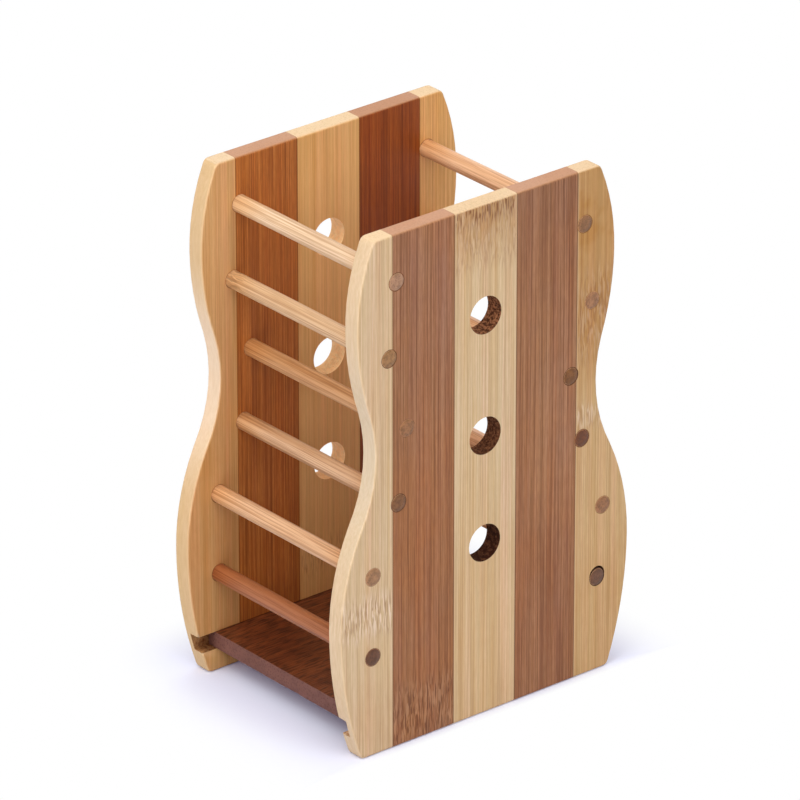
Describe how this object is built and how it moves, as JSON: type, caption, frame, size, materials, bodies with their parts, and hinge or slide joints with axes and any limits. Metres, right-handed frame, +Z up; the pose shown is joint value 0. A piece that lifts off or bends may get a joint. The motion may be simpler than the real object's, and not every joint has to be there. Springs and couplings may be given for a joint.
{
  "type": "utensil holder",
  "caption": "Open bamboo holder for kitchen utensils: wavy striped side panels joined by round rungs front and rear, over a base board let into grooves.",
  "frame": {"origin": "on the ground under the middle of the holder's overall box", "axes": "+Z up; the rungs run along X between the two panels; the front ladder is at -Y and the rear ladder at +Y"},
  "size_m": [0.085, 0.1204, 0.18],
  "materials": {
    "light_bamboo": "natural bamboo, sanded, thin satin oil",
    "dark_bamboo": "carbonised bamboo, sanded, thin satin oil",
    "rung_wood": "turned bamboo dowel, oiled",
    "base_wood": "dark carbonised bamboo, semi gloss top"
  },
  "bodies": {
    "root": {"right_front_edge_strip": "light_bamboo", "right_front_dark_strip": "dark_bamboo", "right_centre_strip": "light_bamboo", "right_rear_dark_strip": "dark_bamboo", "right_rear_edge_strip": "light_bamboo", "left_front_edge_strip": "light_bamboo", "left_front_dark_strip": "dark_bamboo", "left_centre_strip": "light_bamboo", "left_rear_dark_strip": "dark_bamboo", "left_rear_edge_strip": "light_bamboo", "front_rung_1": "rung_wood", "front_rung_2": "rung_wood", "front_rung_3": "rung_wood", "front_rung_4": "rung_wood", "front_rung_5": "rung_wood", "front_rung_6": "rung_wood", "rear_rung_1": "rung_wood", "rear_rung_2": "rung_wood", "rear_rung_3": "rung_wood", "rear_rung_4": "rung_wood", "rear_rung_5": "rung_wood", "rear_rung_6": "rung_wood", "base_board": "base_wood"}
  },
  "joints": []
}
